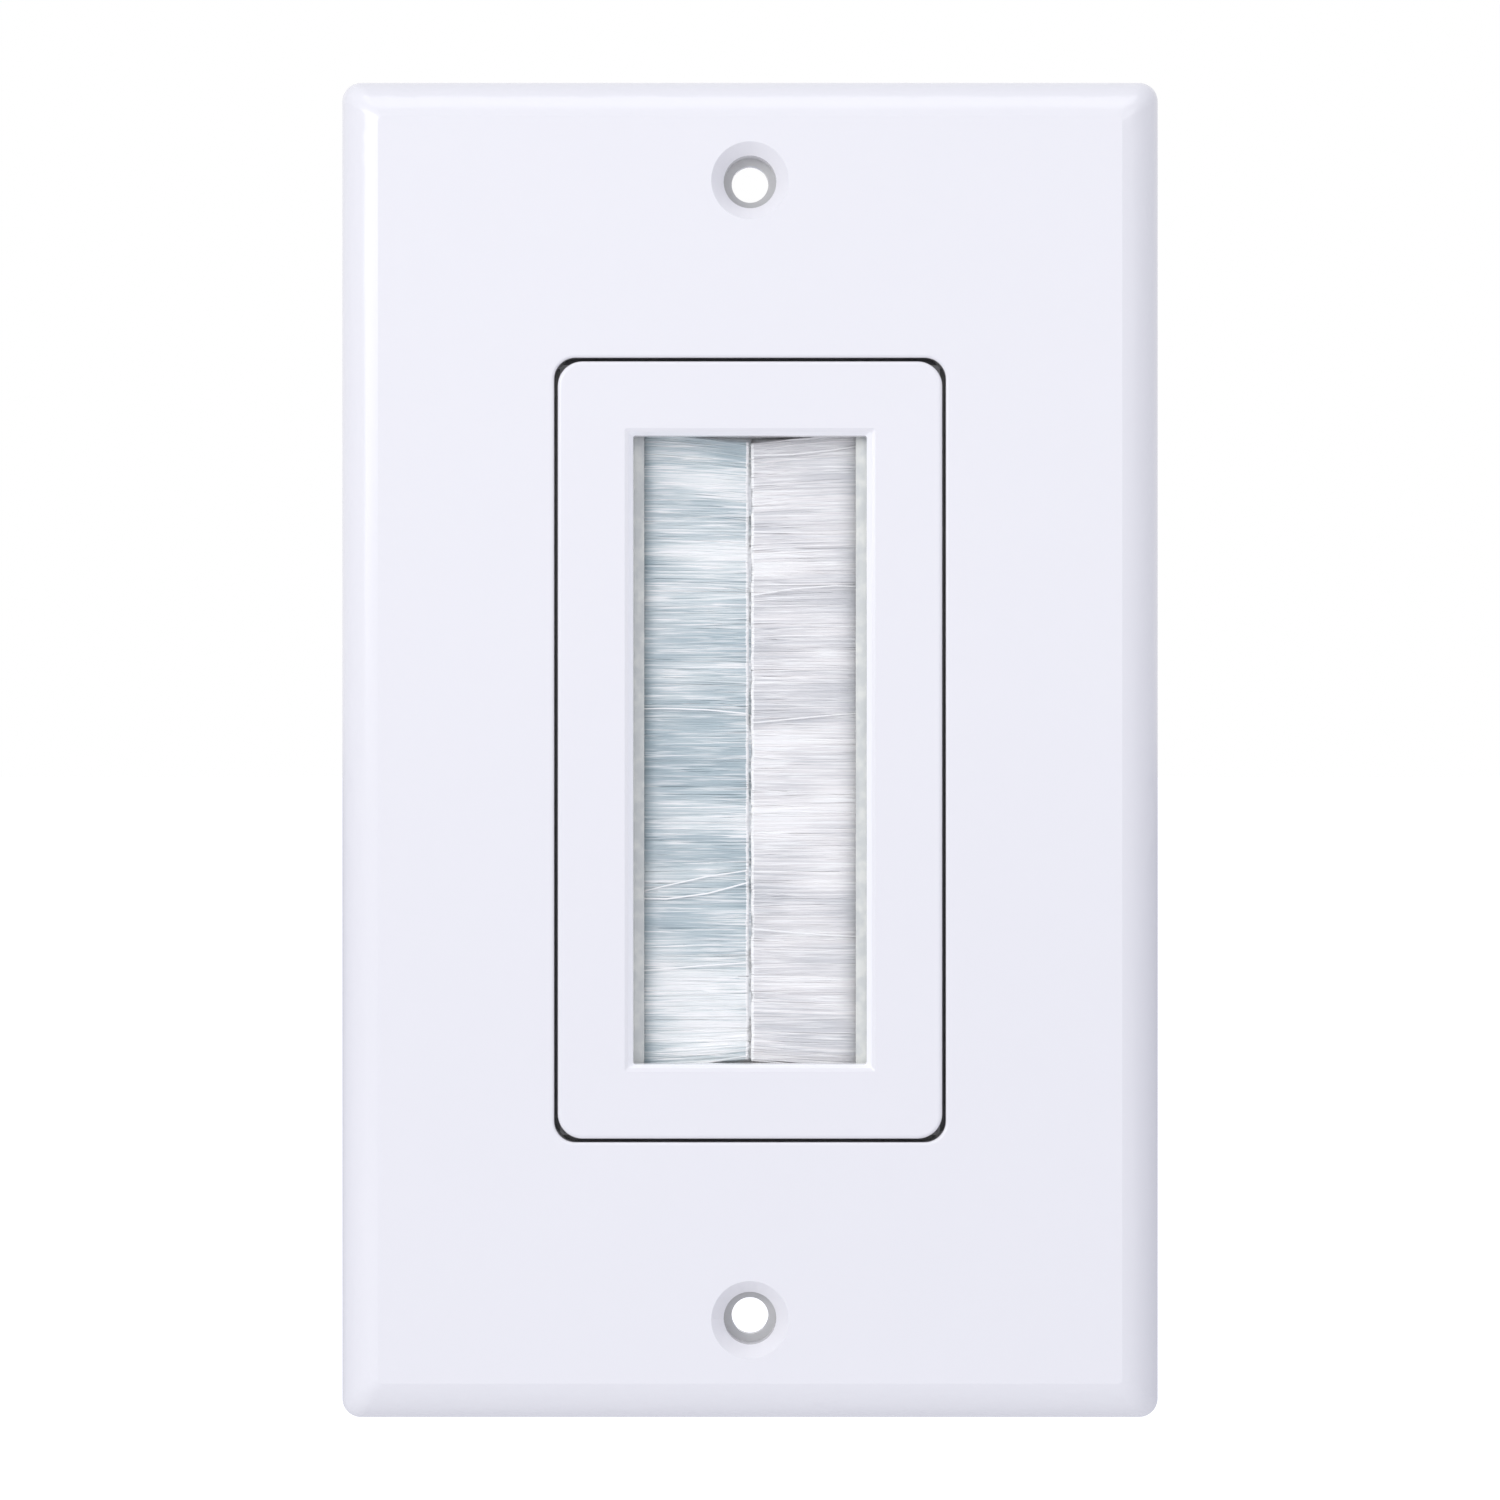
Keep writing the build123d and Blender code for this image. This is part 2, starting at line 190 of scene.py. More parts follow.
class BrushPlateBristles(PropertyGroup):
    """Sizes and colours of the two rows of bristles"""

    strands: IntProperty(
        name="Strands", description="Strands in each row", default=4100, min=100, max=4100
    )
    diameter: FloatProperty(
        name="Diameter", description="Thickness of one strand", default=0.15 * MM,
        precision=5, unit="LENGTH",
    )
    top_droop: FloatProperty(
        name="Top droop", description="How far the tips of the highest strands hang down",
        default=1.0 * MM, precision=5, unit="LENGTH",
    )
    bottom_lift: FloatProperty(
        name="Bottom lift", description="How far the tips of the lowest strands stand up",
        default=0.7 * MM, precision=5, unit="LENGTH",
    )
    tip_sink: FloatProperty(
        name="Tip sink", description="How much further from the room the tips lie than the roots",
        default=0.275 * MM, precision=5, unit="LENGTH",
    )
    tip_overlap: FloatProperty(
        name="Tip overlap", description="How far the strands at the back cross the centre",
        default=0.25 * MM, precision=5, unit="LENGTH",
    )
    tip_gap: FloatProperty(
        name="Tip gap", description="Space between the two rows where they meet",
        default=0.18 * MM, precision=5, unit="LENGTH",
    )
    seed: IntProperty(name="Seed", description="Start of the random order", default=11)
    # Both rows are the same nylon: the left row's colours are painted darker and bluer as shade,
    # and the right row's paler and warmer as light
    left_colour: FloatVectorProperty(
        name="Left colour", description="Colour of the nylon in the left row", subtype="COLOR",
        size=3, min=0, max=1, default=(0.80, 0.85, 0.84),
    )
    left_shade: FloatVectorProperty(
        name="Left shade", description="Colour of the left row's darker strands and roots",
        subtype="COLOR", size=3, min=0, max=1, default=(0.45, 0.545, 0.575),
    )
    right_colour: FloatVectorProperty(
        name="Right colour", description="Colour of the nylon in the right row", subtype="COLOR",
        size=3, min=0, max=1, default=(0.95, 0.92, 0.90),
    )
    right_shade: FloatVectorProperty(
        name="Right shade", description="Colour of the right row's darker strands and roots",
        subtype="COLOR", size=3, min=0, max=1, default=(0.66, 0.665, 0.675),
    )


class BrushPlateFinishes(PropertyGroup):
    """Colours of the moulded and metal pieces"""

    plate: FloatVectorProperty(
        name="Plate", description="Colour of the plate's plastic", subtype="COLOR", size=3,
        min=0, max=1, default=(0.85, 0.84, 0.85),
    )
    insert: FloatVectorProperty(
        name="Insert", description="Colour of the insert's plastic", subtype="COLOR", size=3,
        min=0, max=1, default=(0.85, 0.84, 0.85),
    )
    retainer: FloatVectorProperty(
        name="Retainer", description="Colour of the retainer's plastic", subtype="COLOR", size=3,
        min=0, max=1, default=(0.80, 0.80, 0.83),
    )
    channel: FloatVectorProperty(
        name="Channel", description="Colour of the brush channels' metal", subtype="COLOR",
        size=3, min=0, max=1, default=(0.59, 0.61, 0.60),
    )
    steel: FloatVectorProperty(
        name="Steel", description="Colour of the screws and the core wires", subtype="COLOR",
        size=3, min=0, max=1, default=(0.60, 0.61, 0.62),
    )
    gloss_roughness: FloatProperty(
        name="Gloss roughness", description="Roughness of the plate and the insert",
        subtype="FACTOR", min=0, max=1, default=0.16,
    )


class BrushPlateStage(PropertyGroup):
    """Camera and lights"""

    camera_distance: FloatProperty(
        name="Camera distance", description="From the camera to the plate's face",
        default=0.4, unit="LENGTH",
    )
    frame_width: FloatProperty(
        name="Frame width", description="Width of the picture where the plate's outline lies",
        default=0.1285, precision=4, unit="LENGTH",
    )
    floor_drop: FloatProperty(
        name="Floor drop", description="From the plate's centre down to the floor",
        default=0.12, unit="LENGTH",
    )
    lamp_distance: FloatProperty(
        name="Lamp distance", description="From the plate to each softbox",
        default=1.1, unit="LENGTH",
    )
    front_power: FloatProperty(
        name="Front", description="Power of the wide softbox in front", default=1.3, unit="POWER"
    )
    key_power: FloatProperty(
        name="Key", description="Power of the softbox on the left", default=3.95, unit="POWER"
    )
    fill_power: FloatProperty(
        name="Fill", description="Power of the softbox on the right", default=0.65, unit="POWER"
    )
    top_power: FloatProperty(
        name="Top", description="Power of the softbox above", default=3.4, unit="POWER"
    )
    surround: FloatProperty(
        name="Surround", description="Strength of the light from all round", default=0.45
    )


# Shader building


def new_material(name):
    """A material with a Principled surface, and its node tree and shader"""
    material = bpy.data.materials.new(name)
    material.use_nodes = True
    tree = material.node_tree
    tree.nodes.clear()
    shader = tree.nodes.new("ShaderNodeBsdfPrincipled")
    output = tree.nodes.new("ShaderNodeOutputMaterial")
    tree.links.new(shader.outputs["BSDF"], output.inputs["Surface"])
    return material, tree, shader


def object_places(tree):
    """The object's own coordinates"""
    return tree.nodes.new("ShaderNodeTexCoord").outputs["Object"]


def object_axes(tree):
    """The object's own coordinates, with a socket for each axis"""
    apart = tree.nodes.new("ShaderNodeSeparateXYZ")
    tree.links.new(object_places(tree), apart.inputs[0])
    return apart.outputs


def object_noise(tree, lumps, detail, stretch=(1, 1, 1)):
    """Noise on the object's own coordinates, with this many lumps in a metre"""
    mapping = tree.nodes.new("ShaderNodeMapping")
    mapping.inputs["Scale"].default_value = stretch
    noise = tree.nodes.new("ShaderNodeTexNoise")
    noise.inputs["Scale"].default_value = lumps
    noise.inputs["Detail"].default_value = detail
    tree.links.new(object_places(tree), mapping.inputs["Vector"])
    tree.links.new(mapping.outputs["Vector"], noise.inputs["Vector"])
    return noise.outputs["Fac"]


def spread(tree, value, low, high, start=0.0, end=1.0):
    """Maps a value from start..end to low..high"""
    node = tree.nodes.new("ShaderNodeMapRange")
    node.inputs["From Min"].default_value = start
    node.inputs["From Max"].default_value = end
    node.inputs["To Min"].default_value = low
    node.inputs["To Max"].default_value = high
    tree.links.new(value, node.inputs["Value"])
    return node.outputs["Result"]


def inverted(tree, value):
    """1 where a value is 0, and 0 where it is 1"""
    return spread(tree, value, 1, 0)


def combined(tree, operation, first, *others):
    """Several values joined by one operation, pair by pair"""
    for other in others:
        node = tree.nodes.new("ShaderNodeMath")
        node.operation = operation
        tree.links.new(first, node.inputs[0])
        tree.links.new(other, node.inputs[1])
        first = node.outputs[0]
    return first


def blend_colours(tree, factor, first, second):
    """A colour between two colours, each a tuple or a socket"""
    node = tree.nodes.new("ShaderNodeMix")
    node.data_type = "RGBA"
    for socket, colour in ((node.inputs["A"], first), (node.inputs["B"], second)):
        if isinstance(colour, bpy.types.NodeSocket):
            tree.links.new(colour, socket)
        else:
            socket.default_value = (*colour, 1)
    tree.links.new(factor, node.inputs["Factor"])
    return node.outputs["Result"]


def add_bump(tree, shader, heights, depth):
    """Bump on the shader from one height socket, depth in metres"""
    bump = tree.nodes.new("ShaderNodeBump")
    bump.inputs["Strength"].default_value = 1.0
    bump.inputs["Distance"].default_value = depth
    tree.links.new(heights, bump.inputs["Height"])
    tree.links.new(bump.outputs["Normal"], shader.inputs["Normal"])


def inside_rectangle(tree, halves, softness):
    """1 within a rectangle round the plate's centre, seen from the front, and 0 outside it"""
    axes = object_axes(tree)
    within = []
    for axis, half in zip("XZ", halves):
        away = tree.nodes.new("ShaderNodeMath")
        away.operation = "ABSOLUTE"
        tree.links.new(axes[axis], away.inputs[0])
        within.append(spread(tree, away.outputs[0], 1, 0, half - softness, half + softness))
    return combined(tree, "MINIMUM", *within)


def deeper_than(tree, start, end):
    """0 on the room's side of start and 1 behind end, both as places on Y"""
    return spread(tree, object_axes(tree)["Y"], 0, 1, start, end)


def behind_face(tree, depths):
    """0 at the plate's face and 1 deeper than both depths"""
    face = cad_box[0].y
    return deeper_than(tree, face + depths[0], face + depths[1])


def moulded_plastic(name, colour, roughness, grain_depth, shade_and_light_tints=()):
    """Moulded plastic: a faint cloudiness in its colour and gloss, a fine skin, and any painted
    shade and light laid over its colour
    """
    material, tree, shader = new_material(name)
    cloud = object_noise(tree, lumps=90, detail=3)
    paler = tuple(min(1, c * (1 + PLASTIC_CLOUD)) for c in colour)
    deeper = tuple(c * (1 - PLASTIC_CLOUD) for c in colour)
    skin = blend_colours(tree, cloud, deeper, paler)
    # Painted shade and painted light, each laid over the plastic's colour where its mask is 1
    for mask, tint in shade_and_light_tints:
        skin = blend_colours(tree, mask(tree), skin, tint)
    tree.links.new(skin, shader.inputs["Base Color"])
    polish = object_noise(tree, lumps=260, detail=4)
    smoothest, roughest = roughness * (1 - PLASTIC_POLISH), roughness * (1 + PLASTIC_POLISH)
    rough = spread(tree, polish, smoothest, roughest, start=0.3, end=0.7)
    tree.links.new(rough, shader.inputs["Roughness"])
    shader.inputs["IOR"].default_value = PLASTIC_IOR
    add_bump(tree, shader, object_noise(tree, lumps=2600, detail=3), grain_depth)
    return material


def plate_crevice_shade(tree):
    """The walls of the plate's opening, darkened with painted shade"""
    reach = inside_rectangle(tree, CREVICE_REACH, SOFT_EDGE)
    return combined(tree, "MULTIPLY", reach, behind_face(tree, CREVICE_DEPTHS))


def insert_crevice_shade(tree):
    """The insert's outer side walls, which face the plate's opening, and the strap beside them,
    darkened with painted shade
    """
    beyond = inverted(tree, inside_rectangle(tree, INSERT_SIDES, SHARP_EDGE))
    near = inside_rectangle(tree, CREVICE_REACH, SOFT_EDGE)
    deep = behind_face(tree, CREVICE_DEPTHS)
    before_back = inverted(tree, deeper_than(tree, *INSIDE_STRAP))
    return combined(tree, "MULTIPLY", beyond, near, deep, before_back)


def window_rim_light(tree):
    """The window's bevel and walls, made paler with painted light"""
    reach = inside_rectangle(tree, WINDOW_EDGES, SHARP_EDGE)
    return combined(tree, "MULTIPLY", reach, behind_face(tree, BEVEL_DEPTHS))


def strap_front_shade(tree):
    """The front of the strap's ends, greyed with painted shade where the plate's screw holes show
    them
    """
    beyond = inverted(tree, inside_rectangle(tree, STRAP_MIDDLE, SOFT_EDGE))
    front = inverted(tree, deeper_than(tree, *BEHIND_STRAP_FRONT))
    return combined(tree, "MULTIPLY", beyond, front)


def drawn_metal(name, colour, roughness, lines, line_depth, metallic=1.0, film=0.0):
    """Metal with fine upright lines, this many in a metre, and a patchy film of glue"""
    material, tree, shader = new_material(name)
    drawn = object_noise(tree, lumps=lines, detail=4, stretch=(1, 1, 0.02))
    deeper = tuple(c * 0.86 for c in colour)
    lined = blend_colours(tree, drawn, deeper, colour)
    glue = spread(tree, object_noise(tree, lumps=900, detail=3), 0, film, start=0.4, end=0.65)
    tree.links.new(blend_colours(tree, glue, lined, FILM_COLOUR), shader.inputs["Base Color"])
    rough = spread(tree, drawn, roughness * 0.8, roughness * 1.25, start=0.3, end=0.7)
    tree.links.new(rough, shader.inputs["Roughness"])
    shader.inputs["Metallic"].default_value = metallic
    add_bump(tree, shader, drawn, line_depth)
    return material


def plated_steel(name, colour):
    """Zinc plated steel with small cloudy patches"""
    material, tree, shader = new_material(name)
    cloud = object_noise(tree, lumps=1500, detail=5)
    deeper = tuple(c * 0.8 for c in colour)
    tree.links.new(blend_colours(tree, cloud, deeper, colour), shader.inputs["Base Color"])
    rough = spread(tree, cloud, 0.22, 0.4, start=0.3, end=0.7)
    tree.links.new(rough, shader.inputs["Roughness"])
    shader.inputs["Metallic"].default_value = 1.0
    add_bump(tree, shader, cloud, 0.004 * MM)
    return material


def flatten_normals(tree, shader):
    """Turns the normals of a strand's upper and lower sides towards the front"""
    surface = tree.nodes.new("ShaderNodeNewGeometry")
    flatter = tree.nodes.new("ShaderNodeVectorMath")
    flatter.operation = "MULTIPLY"
    flatter.inputs[1].default_value = (1, 1, STRAND_ROUNDNESS)
    whole = tree.nodes.new("ShaderNodeVectorMath")
    whole.operation = "NORMALIZE"
    tree.links.new(surface.outputs["Normal"], flatter.inputs[0])
    tree.links.new(flatter.outputs["Vector"], whole.inputs[0])
    tree.links.new(whole.outputs["Vector"], shader.inputs["Normal"])


def nylon(name, colour, shade_colour):
    """Nylon strands, each with its own shade, in soft patches, with painted highlights in short
    bright streaks
    """
    material, tree, shader = new_material(name)
    attribute = tree.nodes.new("ShaderNodeAttribute")
    attribute.attribute_name = "strand_shade"
    shade = attribute.outputs["Fac"]
    patches = object_noise(tree, lumps=300, detail=1, stretch=(0.4, 1, 1))
    patches = spread(tree, patches, -0.5, 0.5, start=0.25, end=0.75)
    paleness = combined(tree, "ADD", shade, patches)
    strand_colour = blend_colours(tree, paleness, shade_colour, colour)

    # The painted highlight streaks are fainter where the row is deep, and painted light makes the
    # palest strands, the cut ends and the loose strands bright
    highlight_streaks = object_noise(tree, lumps=6000, detail=2, stretch=(0.035, 0.3, 1))
    highlight_streaks = spread(tree, highlight_streaks, 0, 1, start=0.52, end=0.63)
    fading = spread(tree, paleness, 0.5, 1, start=0.1, end=0.8)
    cut_ends = spread(tree, shade, 0, 1, start=1, end=CUT_END_AND_LOOSE_LIGHT)
    palest = spread(tree, paleness, 0, 0.9, start=0.7, end=1.4)
    highlight_streaks = combined(tree, "MULTIPLY", highlight_streaks, fading)
    bright = combined(tree, "ADD", highlight_streaks, cut_ends, palest)
    finished = blend_colours(tree, bright, strand_colour, PAINTED_NYLON_LIGHT)
    tree.links.new(finished, shader.inputs["Base Color"])
    flatten_normals(tree, shader)
    shader.inputs["Roughness"].default_value = 0.3
    shader.inputs["IOR"].default_value = NYLON_IOR
    shader.inputs["Specular IOR Level"].default_value = 0.8
    return material


# Bristles


def strand_template(radius, cuts):
    """One straight strand along X from 0 to 1, round, closed and cut at these places"""
    mesh = bmesh.new()
    lie_down = Matrix.Translation((0.5, 0, 0)) @ Matrix.Rotation(math.pi / 2, 4, "Y")
    bmesh.ops.create_cone(
        mesh, cap_ends=True, segments=STRAND_SIDES, radius1=radius, radius2=radius, depth=1,
        matrix=lie_down,
    )
    for cut in cuts:
        bmesh.ops.bisect_plane(
            mesh, geom=mesh.verts[:] + mesh.edges[:] + mesh.faces[:],
            plane_co=(cut, 0, 0), plane_no=(1, 0, 0),
        )
    bmesh.ops.recalc_face_normals(mesh, faces=mesh.faces[:])
    return mesh


def bmesh_object(name, mesh, material):
    """A new object in the scene from a bmesh, with one material"""
    data = bpy.data.meshes.new(name)
    mesh.to_mesh(data)
    mesh.free()
    data.materials.append(material)
    made = bpy.data.objects.new(name, data)
    bpy.context.scene.collection.objects.link(made)
    return made


def repeated(made, count):
    """Repeats an object's mesh count times on the spot"""
    copies = made.modifiers.new("Copies", "ARRAY")
    copies.count = count
    copies.use_relative_offset = False
    copies.use_constant_offset = True
    copies.constant_offset_displace = (0, 0, 0)
    finished = made.evaluated_get(bpy.context.evaluated_depsgraph_get())
    whole = bpy.data.meshes.new_from_object(finished)
    made.modifiers.clear()
    made.data = whole


def core_block(columns, rows):
    """A closed block from 0 to 1 along X and Z and -1 to 1 across Y, cut into columns and rows"""
    mesh = bmesh.new()
    place = Matrix.Translation((0.5, 0, 0.5)) @ Matrix.Diagonal((1, 2, 1, 1))
    bmesh.ops.create_cube(mesh, size=1, matrix=place)
    for axis, cuts in ((2, rows - 1), (0, columns - 1)):
        long_edges = [
            edge for edge in mesh.edges
            if abs(edge.verts[0].co[axis] - edge.verts[1].co[axis]) > 0.5
        ]
        bmesh.ops.subdivide_edges(mesh, edges=long_edges, cuts=cuts, use_grid_fill=True)
    return mesh


def random_wave(lengths, rng):
    """A smooth uneven wave, as a function of height. Each part has an amplitude and a length."""
    parts = [
        (share, length, rng.uniform(0, WAVE_START), rng.uniform(0, WAVE_START))
        for share, length in lengths
    ]

    def wave(heights):
        total = np.zeros_like(heights)
        for share, length, turn, bend in parts:
            sway = WAVE_SWAY * np.sin(2 * math.pi * heights / (SWAY_LENGTH * length) + bend)
            total += share * np.sin(2 * math.pi * heights / length + turn + sway)
        return total

    return wave


def vertex_places(data):
    """The places of a mesh's vertices, as rows of three numbers"""
    places = np.empty(len(data.vertices) * 3, np.float32)
    data.vertices.foreach_get("co", places)
    return places.reshape(-1, 3).astype(float)


def move_vertices(data, places):
    """Gives a mesh's vertices new places"""
    data.vertices.foreach_set("co", places.astype(np.float32).ravel())


class Comb:
    """How the strands of one row lie, from the channel's mouth to the plate's centre"""

    # How far inside the channel's mouth the strands start
    root_inset = 1.2 * MM
    # How far from the row's ends the droop and the lift fade, and their share at the back
    droop_fade = 6 * MM
    lift_fade = 3 * MM
    back_share = 0.1
    # Half the row's depth at the roots, and the share of its full depth that the tips fill
    root_half_depth = 0.5 * MM
    tip_depth_share = 0.72
    # The strands fan out by a share of their way near the mouth, and sweep the rest to their tips
    fan_length = 2.4 * MM
    fan_share = 0.6
    sweep_power = 1.7

    def __init__(self, side_name, settings):
        self.side_name = side_name
        self.side = -1 if side_name == "left" else 1
        self.settings = settings
        low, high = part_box(f"{side_name}_bristles")
        channel_low, channel_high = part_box(f"{side_name}_brush_channel")
        self.mouth = min(abs(channel_low.x), abs(channel_high.x))
        self.start = self.mouth + self.root_inset
        self.front = low.y + settings.diameter / 2
        self.centre = (low.y + high.y) / 2
        self.half_depth = (high.y - low.y) / 2 - settings.diameter / 2
        self.half_row = (high.z - low.z) / 2
        rng = random.Random(settings.seed + self.side)
        clumps = ((0.10 * MM, 5.1 * MM), (0.08 * MM, 2.3 * MM), (0.04 * MM, 0.9 * MM))
        ripples = ((0.14 * MM, 7.3 * MM), (0.08 * MM, 2.9 * MM), (0.04 * MM, 1.1 * MM))
        self.clump = random_wave(clumps, rng)
        self.ripple = random_wave(ripples, rng)
        self.trim = random_wave(((0.025 * MM, 3.1 * MM), (0.015 * MM, 0.8 * MM)), rng)
        self.tone = random_wave(((0.07, 6.1 * MM), (0.06, 1.9 * MM), (0.05, 0.7 * MM)), rng)
        self.shadow_reach = random_wave(((0.35, 3.7 * MM), (0.3, 1.3 * MM)), rng)

    def ends(self, root_z, depth):
        """Tip height, root depth and tip depth. A depth of -1 is at the room's side."""
        settings, half_row = self.settings, self.half_row
        share = (1 + self.back_share) / 2 - (1 - self.back_share) / 2 * depth
        droop = settings.top_droop * np.exp(-(half_row - root_z) / self.droop_fade) * share
        lift = settings.bottom_lift * np.exp(-(half_row + root_z) / self.lift_fade) * share
        tip_z = root_z - droop + lift + self.clump(root_z)
        root_y = self.centre + depth * self.root_half_depth
        tip_y = self.centre + settings.tip_sink + depth * self.tip_depth_share * self.half_depth
        tip_y = tip_y + self.ripple(root_z)
        tip_y = np.clip(tip_y, self.centre - self.half_depth, self.centre + self.half_depth)
        return tip_z, root_y, tip_y

    def path(self, along, tip_x, root_z, tip_z, root_y, tip_y):
        """Places at these shares of the strands' length"""
        x = self.start + (tip_x - self.start) * along
        sweep = along ** self.sweep_power
        fan = np.clip((self.start - x) / self.fan_length, 0, 1)
        y = root_y + (tip_y - root_y) * (self.fan_share * fan + (1 - self.fan_share) * sweep)
        return x, y, root_z + (tip_z - root_z) * sweep

    def tone_at(self, root_z):
        """How pale the row is at a height: its uneven tone, with bands of painted light and shade
        """
        tone = self.tone(root_z)
        for band, half_width, paler in LIGHT_AND_SHADE_BANDS[self.side_name]:
            tone = tone + paler * np.exp(-(((root_z - band * MM) / (half_width * MM)) ** 2))
        return tone

    def root_shadow(self, x, root_z):
        """How much deeper a strand is in the shadow at its root"""
        reach = ROOT_SHADE_LENGTH * (1 + self.shadow_reach(root_z))
        return ROOT_SHADE * np.clip((x - (self.mouth - reach)) / reach, 0, 1)


def comb_strands(comb, material):
    """The loose strands on both faces of a row, and the shade of their vertices"""
    settings, half_row = comb.settings, comb.half_row
    draw = np.random.default_rng(settings.seed + comb.side)
    radius, count = settings.diameter / 2, settings.strands

    # Roots, evenly packed in the channel's mouth, and tips, trimmed on the room's side only
    order = np.arange(count)
    place = order + 0.5 + draw.uniform(-ROOT_SCATTER, ROOT_SCATTER, count)
    root_z = -half_row + 2 * half_row * place / count
    root_z = np.clip(root_z, -half_row + radius, half_row - radius)
    packed = (order * PACKING_STEP) % 1.0
    trimmed = order % GROUP < GROUP_FRONT
    depth = np.where(trimmed, SKIN_DEPTH * packed - 1, 1 - SKIN_DEPTH * packed)
    tip_z, root_y, tip_y = comb.ends(root_z, depth)
    tip_z = tip_z + draw.normal(0, TIP_SCATTER, count)
    tip_z = np.clip(tip_z, -half_row + 2 * radius, half_row - 2 * radius)
    uneven = np.abs(draw.normal(0, TRIM_SCATTER, count))
    tip_x = settings.tip_gap / 2 + uneven + comb.trim(root_z)
    tip_x = np.where(trimmed, tip_x, tip_x - settings.tip_overlap * draw.uniform(0, 1, count))

    # Loose strands, in front of the others
    bow = np.zeros(count)
    loose = np.zeros(count, bool)
    for root, tip, rise in LOOSE_STRANDS[comb.side_name]:
        strand = int((root * MM + half_row) / (2 * half_row) * count) // GROUP * GROUP
        root_z[strand], tip_z[strand] = root * MM, tip * MM
        root_y[strand], tip_y[strand] = comb.centre - comb.root_half_depth, comb.front
        bow[strand] = rise * MM
        loose[strand] = True

    # Every strand starts as a copy of one, and is bent, curled, turned and thickened in its place
    template = strand_template(radius, STRAND_CUTS)
    made = bmesh_object(f"{comb.side_name}_bristles_combed", template, material)
    per_strand = len(made.data.vertices)
    repeated(made, count)
    points = vertex_places(made.data).reshape(count, per_strand, 3)
    along, across_y, across_z = np.moveaxis(points.copy(), 2, 0)
    ends = [each[:, None] for each in (tip_x, root_z, tip_z, root_y, tip_y)]
    x, y, z = comb.path(along, *ends)
    z = z + (draw.normal(0, CURL, count) + bow)[:, None] * np.sin(math.pi * along)
    turn = draw.uniform(0, math.pi / 2, (count, 1))
    thick = draw.uniform(*THICKNESSES, (count, 1))
    points[:, :, 0] = comb.side * x
    points[:, :, 1] = y + thick * (across_y * np.cos(turn) - across_z * np.sin(turn))
    points[:, :, 2] = z + thick * (across_y * np.sin(turn) + across_z * np.cos(turn))
    move_vertices(made.data, points)

    shade = draw.normal(*STRAND_SHADES, count) + comb.tone_at(root_z)
    drift = draw.normal(0, SHADE_DRIFT, count)[:, None] * (2 * along - 1)
    shades = shade[:, None] + drift - comb.root_shadow(x, root_z[:, None])
    # The trimmed strands' cut ends and the loose strands get a shade above 1, for painted light
    cut_end = (along > CUT_END_START) & trimmed[:, None]
    shades = np.where(cut_end | loose[:, None], CUT_END_AND_LOOSE_LIGHT, np.clip(shades, 0, 1))
    return made, shades.ravel()


def comb_core(comb, material):
    """The closed bundle under the loose strands, one ridge to a strand, and its vertices' shade"""
    draw = np.random.default_rng(comb.settings.seed + 7 * comb.side)
    made = bmesh_object(f"{comb.side_name}_core", core_block(CORE_COLUMNS, CORE_ROWS), material)
    points = vertex_places(made.data)
    along, face, height = points.T
    row = np.rint(height * CORE_ROWS).astype(int)
    root_z = (2 * height - 1) * (comb.half_row - CORE_INSET)
    tip_z, root_y, tip_y = comb.ends(root_z, face * CORE_DEPTH)
    tip_x = CORE_TIPS[comb.side_name]
    x, y, z = comb.path(along, tip_x, root_z, tip_z, root_y, tip_y)
    ridge = draw.normal(0, CORE_RIDGE, CORE_ROWS + 1)[row]
    move_vertices(made.data, np.stack((comb.side * x, y + ridge, z), axis=1))
    shades = draw.normal(*CORE_SHADES, CORE_ROWS + 1)[row] + comb.tone_at(root_z)
    # The core's tips are painted paler, as painted light in the gap between the rows
    shades = shades + CORE_TIP_LIGHT * (along > CORE_TIP_START)
    return made, np.clip(shades - comb.root_shadow(x, root_z), 0, 1)


def comb_row(side_name, settings, material):
    """Makes one row of bristles in place of its plain node and returns it"""
    comb = Comb(side_name, settings)
    row, strand_shades = comb_strands(comb, material)
    core, core_shades = comb_core(comb, material)
    whole = bmesh.new()
    whole.from_mesh(row.data)
    whole.from_mesh(core.data)
    whole.to_mesh(row.data)
    whole.free()
    bpy.data.objects.remove(core)
    if comb.side > 0:
        row.data.flip_normals()
    row.data.polygons.foreach_set("use_smooth", np.ones(len(row.data.polygons), bool))
    shades = np.concatenate((strand_shades, core_shades))
    attribute = row.data.attributes.new("strand_shade", "FLOAT", "POINT")
    attribute.data.foreach_set("value", shades.astype(np.float32))
    row.data.update()
    return row


# Operators


def finish_node(node, material):
    """Gives a node of the frame its material"""
    for material_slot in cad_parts[node].material_slots:
        material_slot.material = material


